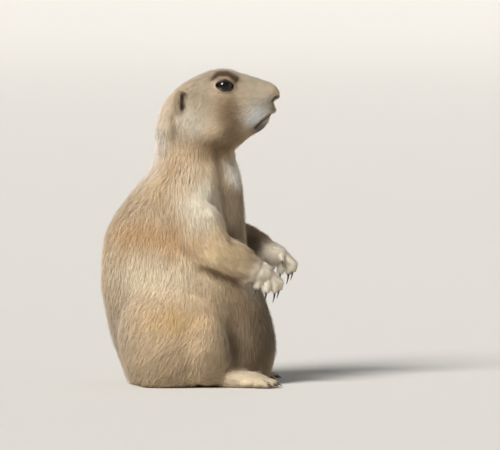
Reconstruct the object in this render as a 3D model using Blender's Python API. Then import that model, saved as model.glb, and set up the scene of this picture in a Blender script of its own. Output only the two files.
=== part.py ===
"""A prairie dog sitting upright on its haunches, life size, as a still museum model.

The animal faces +X with its right side towards -Y, and sits on the floor at Z = 0. The body is shaped whole
from lofted and rounded masses, then parted with thin cuts into head, neck, chest, limbs, tail and claws.
Sizes in the tables are millimetres.
"""

import math
from functools import partial

import bmesh
import bpy
import numpy as np
from mathutils import Matrix, Vector

MM = 0.001
GAP = 0.3
HALF_SPACE = 400

# How fine the flesh is: the big masses are blended coarsely, the face and paws finely.
BODY_VOXEL = 2.0
BODY_SMOOTHING = 9
FINE_VOXEL = 0.85
FINE_SMOOTHING = 3
FLESH_FACES = 6200
FINE_SHARE = 0.5
FACE_ABOVE = 172
FINGERS_AHEAD = 44
FINGERS_FROM, FINGERS_TO = 55, 102
TOES_AHEAD = 40
TOES_BELOW = 12

# Trunk and neck, level slices: height, back, front, half width
TRUNK = (
    (-5, -34, 48, 32),
    (3, -46.5, 57, 40),
    (14, -51, 61.5, 44.5),
    (27, -56, 64.2, 46.5),
    (40, -60, 62.7, 47.5),
    (54, -63, 59, 48),
    (68, -65.5, 54, 47.5),
    (84, -66.5, 47.5, 45),
    (98, -65.5, 43, 42),
    (112, -62.5, 41.5, 39.5),
    (126, -55.5, 41.5, 36.5),
    (140, -45, 39.5, 32.5),
    (152, -35, 37.5, 28.5),
    (162, -29, 36, 26.5),
    (172, -25.5, 33, 25),
    (184, -25, 28, 24),
    (196, -22, 22, 21),
)
# Chest and belly narrow towards the front by this share
FRONT_TAPER = 0.36

# Soft masses beside the middle: centre X, distance from the middle, Z, and three radii
SHOULDER = ((-1, 22, 143), (22, 15.5, 29))
RUMP = ((-16, 37, 37), (38, 23, 41))
THIGH = ((8, 41, 34), (23, 19, 32))
BREAST = ((24, 0, 150), (16, 18, 18))

# Head, upright slices from the muzzle to the nape: distance ahead, crown, underside, half width, widest height
HEAD = (
    (65.2, 219.0, 211.2, 3.8, 215),
    (62.8, 221.4, 210.0, 6.2, 214.8),
    (60.4, 222.7, 208.2, 8.0, 213),
    (57.6, 223.9, 196.0, 9.6, 208),
    (50.5, 226.1, 188.6, 12.2, 206.5),
    (44, 228.2, 183.0, 14.6, 206),
    (37, 230.4, 177, 17.2, 206),
    (30, 232.6, 171, 20.8, 205.5),
    (22, 233.2, 169, 23.6, 204),
    (13, 231.0, 168, 25.8, 201),
    (4, 227.2, 168, 27.0, 198),
    (-5, 221.8, 168, 26.6, 195),
    (-13, 215.0, 168, 24.2, 192),
    (-19.5, 206.6, 169, 20.0, 189),
    (-24, 196.0, 174, 13.5, 185),
)
HEAD_TURN = math.radians(-4)

# Forms of the head in its own directions: centre, then three radii
CHEEK = ((14, 16, 191), (18, 10.5, 16))
UPPER_LIP = ((57.5, 0, 203.4), (6.2, 5.8, 5.2))
CHIN = ((51.0, 0, 195.0), (9.0, 5.8, 4.8))
CHIN_PITCH = math.radians(-38)
NOSE_PAD = ((63.0, 0, 214.6), (3.4, 4.8, 3.5))
NOSE_PITCH = math.radians(30)
WHISKER_PAD = ((54.0, 5.2, 205.0), (8.6, 5.0, 7.6))
WHISKER_YAW = math.radians(-14)
BROW = ((25.5, 11.0, 225.6), (13.0, 7.6, 6.2))
BROW_YAW = math.radians(-8)

EYE_CENTRE = (26.5, 14.4, 220.4)
EYE_RADIUS = 6.5
EYE_LOOK = (0.20, 0.96, 0.16)
LID_THICKNESS = 0.95
LID_OPENING = (6.3, 4.4)

EAR_CENTRE = (-5.0, 23.6, 209.0)
EAR_SIZE = (5.4, 3.4, 9.6)
EAR_TURN = math.radians(-24)
EAR_LEAN = math.radians(7)
EAR_CUP = (2.6, 3.4, 6.6)

MOUTH_FRONT = (64.0, 200.8)
MOUTH_CORNER = (49.0, 191.5)
MOUTH_GAP = 0.8
NOSTRIL = ((64.6, 2.6, 213.4), (1.9, 1.0, 1.4))

# Each arm: centre X, Y, Z, then the two radii, from the shoulder to the wrist
RIGHT_ARM = (
    (-14, -24, 142, 17, 17),
    (-6, -31, 130, 16.5, 19),
    (5, -37, 116.5, 14, 20),
    (17, -37.5, 105, 12.8, 18),
    (31, -33.5, 96, 11.2, 14.6),
    (47, -27, 86, 8.4, 9.8),
)
LEFT_ARM = (
    (-14, 24, 144, 17, 17),
    (-4, 31, 132, 16, 18.5),
    (9, 36.5, 121, 13.5, 18),
    (24, 36, 114, 12.4, 16.6),
    (42, 31, 104.5, 10.4, 13.2),
    (57.5, 25.5, 97, 7.8, 8.6),
)
# One paw from the wrist: each digit's knuckle, its run to the fingertip and its radius, outermost first
DIGITS = (
    ((2.6, 1.8, -5.0), (-0.4, -0.6, -8.0), 2.4),
    ((8.4, 0.4, -4.6), (1.0, 0.2, -11.4), 2.8),
    ((14.0, -1.2, -2.4), (1.6, 0.2, -13.6), 2.8),
    ((18.2, -2.6, -2.4), (0.6, 0.0, -11.6), 2.5),
    ((8.0, -7.4, -1.4), (2.8, -0.8, -5.4), 2.0),
)
FINGER_CLAW = 8.6
FINGER_CLAW_RADIUS = 1.15
CLAW_CURVE = 0.38

# The hind foot: centre X, distance from the middle, Z, two radii
FOOT = (
    (8, 34, 6.5, 7.0, 7.0),
    (20, 35.5, 7.5, 7.6, 8.0),
    (33, 37.5, 7.2, 8.2, 7.6),
    (46, 39.5, 5.4, 9.2, 5.6),
    (53, 40.5, 4.2, 9.4, 4.4),
)
TOE_FAN = math.radians(8.5)
TOE_LENGTH = (8.6, 11.2, 12.0, 10.8, 7.4)
TOE_SPREAD = 4.2
TOE_RADIUS = 2.75
TOE_CLAW = 6.4
TOE_CLAW_RADIUS = 1.2

TAIL = (
    (-30, 2, 12, 10, 9.5),
    (-36, 16, 7.5, 8.8, 7.2),
    (-36.5, 31, 5.6, 7.6, 5.8),
    (-31, 44, 4.8, 7.0, 5.0),
    (-21, 53.5, 4.2, 5.6, 4.6),
    (-10, 59, 3.6, 3.4, 3.8),
)
TAIL_TIP_START = 3

# Where thin cuts part the body: each plane's name, a point on it and the way it faces
BODY_CUTS = (
    ("head", (6, 0, 174), (0.21, 0, 1)),
    ("neck", (0, 0, 152), (0.07, 0, 1)),
    ("chest", (-6, 0, 92), (-0.10, 0, 1)),
)
HAUNCH_CUT = ((-10, 54, 37), (40, 31, 40))
NOSE_CUT = ((66.0, 0, 214.2), (4.2, 6.0, 4.6))
EAR_MARGIN = 1.2
ARM_MARGIN = 2
TAIL_MARGIN = 3
FOOT_MARGIN = (7, 1.5)
TOES_CUT = (80, 44, 4, 16, 8)

FUR_BUFF = (0.56, 0.42, 0.27, 1)
FUR_PALE = (0.70, 0.60, 0.46, 1)
CLAW_DARK = (0.035, 0.026, 0.022, 1)
EYE_BLACK = (0.012, 0.010, 0.009, 1)


def between(rows, steps):
    """Rows read along a smooth curve through the given ones, with this many steps in each interval."""
    table = np.array(rows, float)
    padded = np.vstack([2 * table[0] - table[1], table, 2 * table[-1] - table[-2]])
    made = []
    for i in range(len(table) - 1):
        a, b, c, d = padded[i : i + 4]
        for t in np.arange(steps) / steps:
            made.append(
                0.5 * (2 * b + (c - a) * t + (2 * a - 5 * b + 4 * c - d) * t**2
                       + (3 * b - a - 3 * c + d) * t**3)
            )
    return made + [table[-1]]


def head_point(ahead, aside, height):
    """A point given in the head's own directions, after the head's turn."""
    return Matrix.Rotation(HEAD_TURN, 3, "Z") @ Vector((ahead, aside, height))


def skinned(rings, start, end):
    """One closed surface through rings of points, with a pole at each end. Sizes are millimetres.

    It is made of triangles, so that a form and the same form grown keep one distance all over.
    """
    form = bmesh.new()
    loops = [[form.verts.new(Vector(p) * MM) for p in ring] for ring in rings]
    count = len(loops[0])
    for near, far in zip(loops, loops[1:]):
        for i in range(count):
            j = (i + 1) % count
            form.faces.new((near[i], near[j], far[j]))
            form.faces.new((near[i], far[j], far[i]))
    for pole, loop in ((start, loops[0]), (end, loops[-1])):
        tip = form.verts.new(Vector(pole) * MM)
        for i in range(count):
            form.faces.new((tip, loop[i], loop[(i + 1) % count]))
    bmesh.ops.recalc_face_normals(form, faces=form.faces)
    mesh = bpy.data.meshes.new("form")
    form.to_mesh(mesh)
    form.free()
    return mesh


def limb(rows, sides=20, steps=4, grow=0.0, flat_ends=False, upwards=Vector((0, 0, 1))):
    """A tube along rows of centre and two radii, the first radius across and the second upwards."""
    rows = between(rows, steps)
    centres = [Vector(r[:3]) for r in rows]
    angles = [2 * math.pi * i / sides for i in range(sides)]

    def frame_at(i):
        run = (centres[min(i + 1, len(rows) - 1)] - centres[max(i - 1, 0)]).normalized()
        across = run.cross(upwards)
        if across.length < 0.2:
            across = run.cross(Vector((1, 0, 0)))
        across.normalize()
        return run, across, across.cross(run).normalized()

    def ring_at(i, shrink, shift):
        run, across, up = frame_at(i)
        wide, high = (rows[i][3] + grow) * shrink, (rows[i][4] + grow) * shrink
        middle = centres[i] + run * shift
        return [middle + across * wide * math.cos(a) + up * high * math.sin(a) for a in angles]

    rings = [ring_at(i, 1, 0) for i in range(len(rows))]
    first, last = frame_at(0)[0], frame_at(len(rows) - 1)[0]
    if flat_ends:
        return skinned(rings, centres[0], centres[-1])
    round_in, round_out = min(rows[0][3:5]) + grow, min(rows[-1][3:5]) + grow
    for turn in (0.5, 1.05):
        rings.insert(0, ring_at(0, math.cos(turn), -round_in * math.sin(turn)))
        rings.append(ring_at(len(rows) - 1, math.cos(turn), round_out * math.sin(turn)))
    return skinned(rings, centres[0] - first * round_in, centres[-1] + last * round_out)


def ball(centre, radii, turn=None, segments=16):
    """An ellipsoid of three radii, turned by a matrix."""
    form = bmesh.new()
    bmesh.ops.create_uvsphere(form, u_segments=segments, v_segments=segments // 2, radius=1)
    place = Matrix.Translation(Vector(centre) * MM)
    size = Matrix.Diagonal((*(Vector(radii) * MM), 1))
    bmesh.ops.transform(form, matrix=place @ (turn or Matrix()) @ size, verts=form.verts)
    mesh = bpy.data.meshes.new("ball")
    form.to_mesh(mesh)
    form.free()
    return mesh


def trunk():
    """Body and neck, from level slices rounded a little squarer than an ellipse, narrower in front."""
    angles = [2 * math.pi * i / 40 for i in range(40)]
    rings = []
    for height, back, front, half_width in between(TRUNK, 3):
        middle, reach = (back + front) / 2, (front - back) / 2
        ring = []
        for a in angles:
            narrow = 1 - FRONT_TAPER * max(0, math.cos(a)) ** 1.5
            ring.append((middle + reach * rounded(math.cos(a)), half_width * narrow * rounded(math.sin(a)), height))
        rings.append(ring)
    low, high = TRUNK[0], TRUNK[-1]
    return skinned(rings, ((low[1] + low[2]) / 2, 0, low[0] - 2), ((high[1] + high[2]) / 2, 0, high[0] + 6))


def rounded(value, squareness=2.25):
    """A cosine or sine bent towards a rounded square."""
    return math.copysign(abs(value) ** (2 / squareness), value)


def skull():
    """The head's main form, from upright slices whose crown and jaw are unlike."""
    angles = [2 * math.pi * i / 32 for i in range(32)]
    rings = []
    for ahead, crown, under, half_width, widest in between(HEAD, 3):
        ring = []
        for a in angles:
            rise = crown - widest if math.sin(a) > 0 else widest - under
            ring.append(head_point(ahead, half_width * rounded(math.cos(a), 2.1), widest + rise * math.sin(a)))
        rings.append(ring)
    front, nape = HEAD[0], HEAD[-1]
    return skinned(rings, head_point(front[0] + 1.5, 0, front[4]), head_point(nape[0] - 3, 0, nape[4]))


def head_ball(form, side=1, pitch=0.0, yaw=0.0, grow=0.0):
    """An ellipsoid set in the head's own directions on one side, pitched nose down and turned aside."""
    (ahead, aside, height), radii = form
    turn = (
        Matrix.Rotation(HEAD_TURN, 4, "Z")
        @ Matrix.Rotation(side * yaw, 4, "Z")
        @ Matrix.Rotation(pitch, 4, "Y")
    )
    return ball(head_point(ahead, side * aside, height), [r + grow for r in radii], turn)


def body_ball(form, side=1, grow=0.0):
    """An ellipsoid on one side of the body."""
    (ahead, aside, height), radii = form
    return ball((ahead, side * aside, height), [r + grow for r in radii], segments=24)


def big_masses():
    """The forms that blend softly: trunk, skull, cheeks, shoulders, haunches and the roots of the limbs."""
    forms = [trunk(), skull(), limb(RIGHT_ARM), limb(LEFT_ARM), limb(TAIL)]
    for side in (-1, 1):
        forms += [
            head_ball(CHEEK, side),
            body_ball(SHOULDER, side),
            body_ball(RUMP, side),
            body_ball(THIGH, side),
            limb(foot_rows(side)),
        ]
    return forms + [body_ball(BREAST)]


def face_forms():
    """Muzzle, lips, nose, brows, lids and ears."""
    forms = [
        head_ball(UPPER_LIP),
        head_ball(CHIN, pitch=CHIN_PITCH),
        head_ball(NOSE_PAD, pitch=NOSE_PITCH),
    ]
    for side in (-1, 1):
        forms += [
            head_ball(WHISKER_PAD, side, yaw=WHISKER_YAW),
            head_ball(BROW, side, yaw=BROW_YAW),
            ball(eye_centre(side), [EYE_RADIUS + LID_THICKNESS] * 3),
            ear_form(side),
        ]
    return forms


def eye_centre(side):
    """Where one eye sits: side is -1 for the right eye and 1 for the left."""
    return head_point(EYE_CENTRE[0], side * EYE_CENTRE[1], EYE_CENTRE[2])


def ear_turn(side):
    """The ear's lean out from the head and its turn towards the front."""
    return (
        Matrix.Rotation(HEAD_TURN, 4, "Z")
        @ Matrix.Rotation(side * EAR_TURN, 4, "Z")
        @ Matrix.Rotation(side * EAR_LEAN, 4, "X")
    )


def ear_form(side, margin=0.0, grow=0.0):
    """The low rounded flap of one ear, larger by a margin where it is used as a cutter."""
    centre = head_point(EAR_CENTRE[0], side * EAR_CENTRE[1], EAR_CENTRE[2])
    return ball(centre, [r + margin + grow for r in EAR_SIZE], ear_turn(side))


def paw_points(side, wrist):
    """The knuckle, fingertip and radius of each digit of one front paw."""
    for knuckle, run, radius in DIGITS:
        start = wrist + Vector((knuckle[0], side * knuckle[1], knuckle[2]))
        end = start + Vector((run[0], side * run[1], run[2]))
        yield start, end, radius


def palm_of(side, wrist):
    """The middle of the palm of one front paw."""
    knuckles = [start for start, _, _ in paw_points(side, wrist)]
    return sum(knuckles[:4], Vector()) / 4


def front_paw(side, arm):
    """Palm and digits of one front paw, hanging from the wrist."""
    wrist = Vector(arm[-1][:3])
    palm = palm_of(side, wrist)
    forms = [
        limb((
            (*(wrist + Vector((-7, side * 2, 3))), 7.4, 8.4),
            (*(wrist * 0.55 + palm * 0.45), 7.8, 8.0),
            (*palm, 7.0, 6.6),
        )),
    ]
    for start, end, radius in paw_points(side, wrist):
        root = start * 0.55 + (wrist * 0.4 + palm * 0.6) * 0.45
        bend = start * 0.35 + end * 0.65 + Vector((1.0, 0, 0.3))
        forms.append(limb((
            (*root, radius * 1.15, radius * 1.15),
            (*start, radius * 1.12, radius * 1.12),
            (*bend, radius, radius),
            (*end, radius * 0.82, radius * 0.82),
        ), sides=12))
    return forms


def toe_points(side):
    """The root, tip and heading of each toe, innermost first."""
    front = Vector((FOOT[-1][0], side * FOOT[-1][1], 3.4))
    for i, length in enumerate(TOE_LENGTH):
        place = i - (len(TOE_LENGTH) - 1) / 2
        angle = place * TOE_FAN + 0.06
        heading = Vector((math.cos(angle), side * math.sin(angle), 0))
        root = front + Vector((-2.5 - 0.7 * abs(place), side * place * TOE_SPREAD, 0.4))
        yield root, root + heading * length + Vector((0, 0, -0.7)), heading


def foot_rows(side, wider=0.0, higher=0.0):
    """The rows of one hind foot, made thicker if asked."""
    return [(x, side * y, z, wide + wider, high + higher) for x, y, z, wide, high in FOOT]


def toes_and_foot(side):
    """The rows of a cutter round one hind foot and past its toes."""
    ahead, aside, height, wide, high = TOES_CUT
    return [*foot_rows(side, *FOOT_MARGIN), (ahead, side * aside, height, wide, high)]


def hind_foot(side):
    """The long flat foot and its toes."""
    forms = [limb(foot_rows(side))]
    for root, tip, _ in toe_points(side):
        arch = root * 0.5 + tip * 0.5 + Vector((0, 0, 1.0))
        forms.append(limb((
            (*root, TOE_RADIUS, TOE_RADIUS),
            (*arch, TOE_RADIUS, TOE_RADIUS),
            (*tip, TOE_RADIUS * 0.82, TOE_RADIUS * 0.82),
        ), sides=12))
    return forms


def claw(root, heading, droop, length, radius, grow=0.0):
    """A curved, tapered claw whose root is sunk in the digit."""
    rows = []
    for t in (0.0, 0.3, 0.6, 0.85, 1.0):
        place = root + heading * (length * t) + droop * (length * CLAW_CURVE * t * t)
        thick = radius * (1 - 0.8 * t**1.4) + grow
        rows.append((*place, thick * 0.82, thick))
    return limb(rows, sides=6, steps=1, flat_ends=True, upwards=-droop)


def finger_claws(side, arm):
    """What makes each claw of one front paw: root, heading, droop, length and radius."""
    for start, end, radius in paw_points(side, Vector(arm[-1][:3])):
        heading = (end - start).normalized()
        droop = Vector((-0.75, 0, -0.4))
        share = radius / DIGITS[1][2]
        yield end - heading * 1.2, heading, droop, FINGER_CLAW * share, FINGER_CLAW_RADIUS * share


def toe_claws(side):
    """What makes each claw of one hind foot: root, heading, droop, length and radius."""
    for _, tip, heading in toe_points(side):
        yield tip - heading * 0.8 + Vector((0, 0, 0.6)), heading, Vector((0, 0, -1)), TOE_CLAW, TOE_CLAW_RADIUS


def new_object(name, mesh):
    """An object in the scene for a mesh."""
    made = bpy.data.objects.new(name, mesh)
    bpy.context.scene.collection.objects.link(made)
    return made


def settle(obj):
    """Applies the object's modifiers."""
    bpy.context.view_layer.update()
    evaluated = obj.evaluated_get(bpy.context.evaluated_depsgraph_get())
    mesh = bpy.data.meshes.new_from_object(evaluated)
    obj.modifiers.clear()
    obj.data = mesh
    return obj


def discard(obj):
    bpy.data.objects.remove(obj)


def fused(name, forms, voxel, smoothing):
    """Overlapping closed forms made one surface, with their joins softened."""
    together = bmesh.new()
    for mesh in forms:
        together.from_mesh(mesh)
    mesh = bpy.data.meshes.new(name)
    together.to_mesh(mesh)
    together.free()
    obj = new_object(name, mesh)
    remesh = obj.modifiers.new("fuse", "REMESH")
    remesh.mode = "VOXEL"
    remesh.voxel_size = voxel * MM
    smooth = obj.modifiers.new("soften", "SMOOTH")
    smooth.factor = 0.5
    smooth.iterations = smoothing
    return settle(obj)


def volume_of(mesh):
    """The volume inside a closed mesh, or zero for a mesh that isn't closed."""
    form = bmesh.new()
    form.from_mesh(mesh)
    closed = all(edge.is_manifold for edge in form.edges)
    volume = form.calc_volume(signed=True) if closed else 0.0
    form.free()
    return volume


def boolean(obj, mesh, operation):
    """Cuts or crops the object by a closed mesh. The second solver is for where the first one fails."""
    tool = new_object("tool", mesh)
    start = obj.data
    most = volume_of(start)
    least = max(0.0, most - volume_of(mesh)) if operation == "DIFFERENCE" else 0.0
    for solver in ("EXACT", "MANIFOLD"):
        obj.data = start
        modifier = obj.modifiers.new("cut", "BOOLEAN")
        modifier.operation = operation
        modifier.object = tool
        modifier.solver = solver
        settle(obj)
        if least < volume_of(obj.data) <= most:
            break
    discard(tool)
    return obj


def thinned(obj, faces):
    """Fewer triangles, kept densest on the face and the paws."""
    group = obj.vertex_groups.new(name="coarse")
    for vertex in obj.data.vertices:
        x, y, z = vertex.co / MM
        fingers = x > FINGERS_AHEAD and FINGERS_FROM < z < FINGERS_TO
        toes = x > TOES_AHEAD and z < TOES_BELOW
        group.add([vertex.index], FINE_SHARE if z > FACE_ABOVE or fingers or toes else 1.0, "REPLACE")
    modifier = obj.modifiers.new("thin", "DECIMATE")
    modifier.ratio = faces / sum(len(p.vertices) - 2 for p in obj.data.polygons)
    modifier.vertex_group = "coarse"
    modifier.vertex_group_factor = 1.5
    return settle(obj)


def block(centre, size, turn=None):
    """A box of three full sizes, turned about its centre."""
    form = bmesh.new()
    bmesh.ops.create_cube(form, size=1)
    place = Matrix.Translation(Vector(centre) * MM)
    scale = Matrix.Diagonal((*(Vector(size) * MM), 1))
    bmesh.ops.transform(form, matrix=place @ (turn or Matrix()) @ scale, verts=form.verts)
    mesh = bpy.data.meshes.new("block")
    form.to_mesh(mesh)
    form.free()
    return mesh


def lid_opening(side):
    """The almond between the lids, as a prism along the eye's line of sight."""
    look = Vector((EYE_LOOK[0], side * EYE_LOOK[1], EYE_LOOK[2])).normalized()
    look = Matrix.Rotation(HEAD_TURN, 3, "Z") @ look
    along = (Matrix.Rotation(HEAD_TURN, 3, "Z") @ Vector((1, 0, -0.06)))
    along = (along - look * along.dot(look)).normalized()
    up = look.cross(along) * side
    half_long, half_high = LID_OPENING
    outline = []
    for i in range(16):
        a = 2 * math.pi * i / 16
        narrow = 1 - 0.18 * abs(math.cos(a)) ** 3
        outline.append(along * half_long * math.cos(a) + up * half_high * narrow * math.sin(a))
    centre = eye_centre(side)
    rings = [[centre + look * depth + p for p in outline] for depth in (EYE_RADIUS * 0.35, EYE_RADIUS * 1.9)]
    return skinned(rings, centre + look * EYE_RADIUS * 0.35, centre + look * EYE_RADIUS * 1.9)


def mouth_slit():
    """A thin curved wedge that parts the lips from the front to the corners."""
    (front, high), (corner, low) = MOUTH_FRONT, MOUTH_CORNER
    rings = []
    for t in np.linspace(0, 1, 6):
        ahead = front + (corner - front) * t
        height = high + (low - high) * t + 1.2 * math.sin(math.pi * t)
        half = MOUTH_GAP / 2 * (1 - 0.55 * t)
        rings.append([
            head_point(ahead, across, height + lift)
            for across, lift in ((-16, -half), (16, -half), (16, half), (-16, half))
        ])
    return skinned(rings, head_point(front, 0, high), head_point(corner - 0.2, 0, low))


def ear_hollow(side):
    """The scooped cup of one ear, open to the side and the front."""
    out = ear_turn(side).to_3x3() @ Vector((1.0, side * 2.6, -0.6))
    centre = head_point(EAR_CENTRE[0], side * EAR_CENTRE[1], EAR_CENTRE[2]) + out
    return ball(centre, EAR_CUP, ear_turn(side), segments=12)


def flesh():
    """The whole body as one surface, with eyes, mouth, nostrils and ears opened, flat where it sits."""
    body = fused("body", big_masses(), BODY_VOXEL, BODY_SMOOTHING)
    forms = [body.data, *face_forms(), limb(RIGHT_ARM), limb(LEFT_ARM), limb(TAIL)]
    forms += front_paw(-1, RIGHT_ARM) + front_paw(1, LEFT_ARM) + hind_foot(-1) + hind_foot(1)
    whole = fused("flesh", forms, FINE_VOXEL, FINE_SMOOTHING)
    discard(body)
    thinned(whole, FLESH_FACES)
    boolean(whole, mouth_slit(), "DIFFERENCE")
    for side in (-1, 1):
        boolean(whole, ball(eye_centre(side), [EYE_RADIUS] * 3), "DIFFERENCE")
        boolean(whole, lid_opening(side), "DIFFERENCE")
        boolean(whole, ear_hollow(side), "DIFFERENCE")
        boolean(whole, head_ball(NOSTRIL, side), "DIFFERENCE")
    boolean(whole, block((0, 0, -20), (300, 300, 40)), "DIFFERENCE")
    return whole


def largest_only(obj):
    """Keeps the largest closed surface of the object and drops any loose scrap."""
    form = bmesh.new()
    form.from_mesh(obj.data)
    left = set(form.verts)
    pieces = []
    while left:
        queue = [left.pop()]
        piece = list(queue)
        while queue:
            for edge in queue.pop().link_edges:
                for vertex in edge.verts:
                    if vertex in left:
                        left.discard(vertex)
                        queue.append(vertex)
                        piece.append(vertex)
        pieces.append(piece)
    pieces.sort(key=reach_of)
    bmesh.ops.delete(form, geom=[v for piece in pieces[:-1] for v in piece], context="VERTS")
    form.to_mesh(obj.data)
    form.free()


def reach_of(vertices):
    """The length of the box round some vertices."""
    low = [min(v.co[i] for v in vertices) for i in range(3)]
    high = [max(v.co[i] for v in vertices) for i in range(3)]
    return (Vector(high) - Vector(low)).length


def part_off(rest, name, cutter):
    """Cuts a named piece out of the rest, leaving a thin gap round it. The cutter is made by its growth."""
    piece = new_object(name, rest.data.copy())
    boolean(piece, cutter(0.0), "INTERSECT")
    boolean(rest, cutter(GAP), "DIFFERENCE")
    largest_only(piece)
    largest_only(rest)
    return piece


def beyond(point, heading):
    """A cutter for all that lies beyond a plane through a point, square to a heading."""
    turn = Vector(heading).to_track_quat("Z", "Y").to_matrix().to_4x4()

    def cutter(grow):
        middle = Vector(point) + turn.to_3x3() @ Vector((0, 0, HALF_SPACE / 2 - grow))
        return block(middle, [HALF_SPACE] * 3, turn)

    return cutter


def along(rows, extra):
    """A cutter round a limb, with round ends."""
    return lambda grow: limb(rows, sides=12, steps=2, grow=extra + grow)


def part_off_arm(rest, side, word, arm):
    """Takes one whole arm off the rest and parts it at the wrist and the elbow."""
    wrist, elbow = Vector(arm[-1][:3]), Vector(arm[3][:3])
    palm = palm_of(side, wrist)
    outwards = (wrist - elbow).normalized()
    rows = [*arm[1:], (*palm, 14, 13), (*(palm + (palm - wrist) * 1.2), 14, 12)]
    upper_arm = part_off(rest, f"{word}_upper_arm", along(rows, ARM_MARGIN))
    hand = part_off(upper_arm, f"{word}_hand", beyond(wrist, outwards))
    forearm = part_off(upper_arm, f"{word}_forearm", beyond(elbow, outwards))
    return [upper_arm, forearm, hand]


def part_off_tail(rest):
    """Takes the tail off the rest and parts its tip."""
    tip = Vector(TAIL[TAIL_TIP_START][:3])
    outwards = (Vector(TAIL[-1][:3]) - tip).normalized()
    tail = part_off(rest, "tail", along(TAIL[1:], TAIL_MARGIN))
    return [tail, part_off(tail, "tail_tip", beyond(tip, outwards))]


def material(name, colour, roughness):
    """A plain Principled material."""
    made = bpy.data.materials.new(name)
    made.use_nodes = True
    shader = made.node_tree.nodes["Principled BSDF"]
    shader.inputs["Base Color"].default_value = colour
    shader.inputs["Roughness"].default_value = roughness
    shader.inputs["Metallic"].default_value = 0.0
    return made


def finish(obj, look):
    """Names the mesh, gives it its material and shades it smooth."""
    obj.data.name = obj.name
    obj.data.materials.clear()
    obj.data.materials.append(look)
    obj.data.shade_smooth()
    obj.data.set_sharp_from_angle(angle=math.radians(50))


def main():
    for obj in list(bpy.data.objects):
        bpy.data.objects.remove(obj)
    rest = flesh()
    claws, pieces = [], []
    for side, word, arm in ((-1, "right", RIGHT_ARM), (1, "left", LEFT_ARM)):
        for group, makers in (("finger", finger_claws(side, arm)), ("toe", toe_claws(side))):
            for number, sizes in enumerate(makers, 1):
                boolean(rest, claw(*sizes, grow=GAP), "DIFFERENCE")
                claws.append(new_object(f"{word}_{group}_claw_{number}", claw(*sizes)))
    eyes = [
        new_object(f"{word}_eye", ball(eye_centre(side), [EYE_RADIUS - GAP] * 3))
        for side, word in ((-1, "right"), (1, "left"))
    ]
    pieces += part_off_tail(rest)
    for side, word, arm in ((-1, "right", RIGHT_ARM), (1, "left", LEFT_ARM)):
        pieces += part_off_arm(rest, side, word, arm)
        pieces.append(part_off(rest, f"{word}_foot", along(toes_and_foot(side), 0)))
        pieces.append(part_off(rest, f"{word}_haunch", partial(body_ball, HAUNCH_CUT, side)))
        pieces.append(part_off(rest, f"{word}_ear", partial(ear_form, side, EAR_MARGIN)))
    pieces.append(part_off(rest, "nose", partial(head_ball, NOSE_CUT, 1, 0.0, 0.0)))
    pieces += [part_off(rest, name, beyond(point, heading)) for name, point, heading in BODY_CUTS]
    rest.name = "abdomen"
    pieces.append(rest)
    fur = material("fur", FUR_BUFF, 0.85)
    pale = material("pale_fur", FUR_PALE, 0.85)
    horn = material("claw", CLAW_DARK, 0.45)
    wet = material("eye", EYE_BLACK, 0.08)
    for piece in pieces:
        finish(piece, pale if "hand" in piece.name or "foot" in piece.name else fur)
    for piece in claws:
        finish(piece, horn)
    for piece in eyes:
        finish(piece, wet)
    centre_on_the_floor(pieces + claws + eyes)


def centre_on_the_floor(objects):
    """Moves everything so that the middle of its box is over the origin and its lowest point is at Z = 0."""
    corners = np.concatenate([np.array([v.co for v in obj.data.vertices]) for obj in objects])
    low, high = corners.min(axis=0), corners.max(axis=0)
    shift = Matrix.Translation((-(low[0] + high[0]) / 2, -(low[1] + high[1]) / 2, -low[2]))
    for obj in objects:
        obj.data.transform(shift)


main()
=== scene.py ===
"""The looks of the sitting prairie dog: skin, coat, eyes, nose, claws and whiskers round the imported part.

Lengths and places are millimetres in the part's own frame, +X to the animal's front, -Y to its right.
Places on the head are given as ahead of the eyes, aside of the head's middle and above the eyes.
"""

import math

import bmesh
import bpy
import numpy as np
from mathutils import Matrix, Vector, kdtree


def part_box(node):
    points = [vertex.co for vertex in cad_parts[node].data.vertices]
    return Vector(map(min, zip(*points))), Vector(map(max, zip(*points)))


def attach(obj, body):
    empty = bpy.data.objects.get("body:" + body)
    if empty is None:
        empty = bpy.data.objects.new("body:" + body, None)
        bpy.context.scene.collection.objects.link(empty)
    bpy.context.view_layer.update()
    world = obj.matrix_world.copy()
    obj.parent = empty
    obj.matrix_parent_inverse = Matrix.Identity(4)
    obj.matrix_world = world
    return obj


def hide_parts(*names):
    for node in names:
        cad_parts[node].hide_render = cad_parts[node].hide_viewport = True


MM = 0.001
FAR = 99.0
SEED = 7
SIDES = (("right", -1), ("left", 1))

# The photo: its width in pixels, what one pixel is on the animal, and the point at its middle
PHOTO_WIDTH = 500
PIXEL = 0.74
VIEW_AHEAD_OF_EYE = 18.97
VIEW_HEIGHT = 117.7
CAMERA_DISTANCE = 4000.0
CAMERA_RISE = math.radians(2.5)
SENSOR = 36.0

# The skin: how finely it is rebuilt, how far the solids are swelled to close their gaps, its last face count,
# how often it is smoothed on the body, the face, and the rump and blades, and by what share each time
SKIN_VOXEL = 0.6
SWELL = 0.35
SKIN_TRIANGLES = 188000
BODY_SMOOTHING, FACE_SMOOTHING, SOFT_SMOOTHING = 60, 3, 160
BODY_EASE, FACE_EASE, SOFT_EASE = 0.62, 0.5, 0.9
FINE_LEVELS = 9

# Folds seen from the side, as places ahead of and above the eyes, the elbow or the wrist, and their depths
SHOULDER_FROM_EYE = ((-6.5, -44), (-4.0, -80))
SHOULDER_FROM_ELBOW = ((10, 15), (13, 4))
THIGH_FROM_EYE = ((-5, -164), (2, -182), (6, -204))
UNDER_WRIST, UNDER_ELBOW = (-6, -10), (-9, -14)
SHOULDER_FOLD, THIGH_FOLD, ARM_FOLD = 4.0, 3.5, 2.6
SHOULDER_REACH, THIGH_REACH, ARM_REACH = 13, 11, 8
SHOULDER_FADE, THIGH_FADE, ARM_FADE = 8, 16, 7

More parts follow.
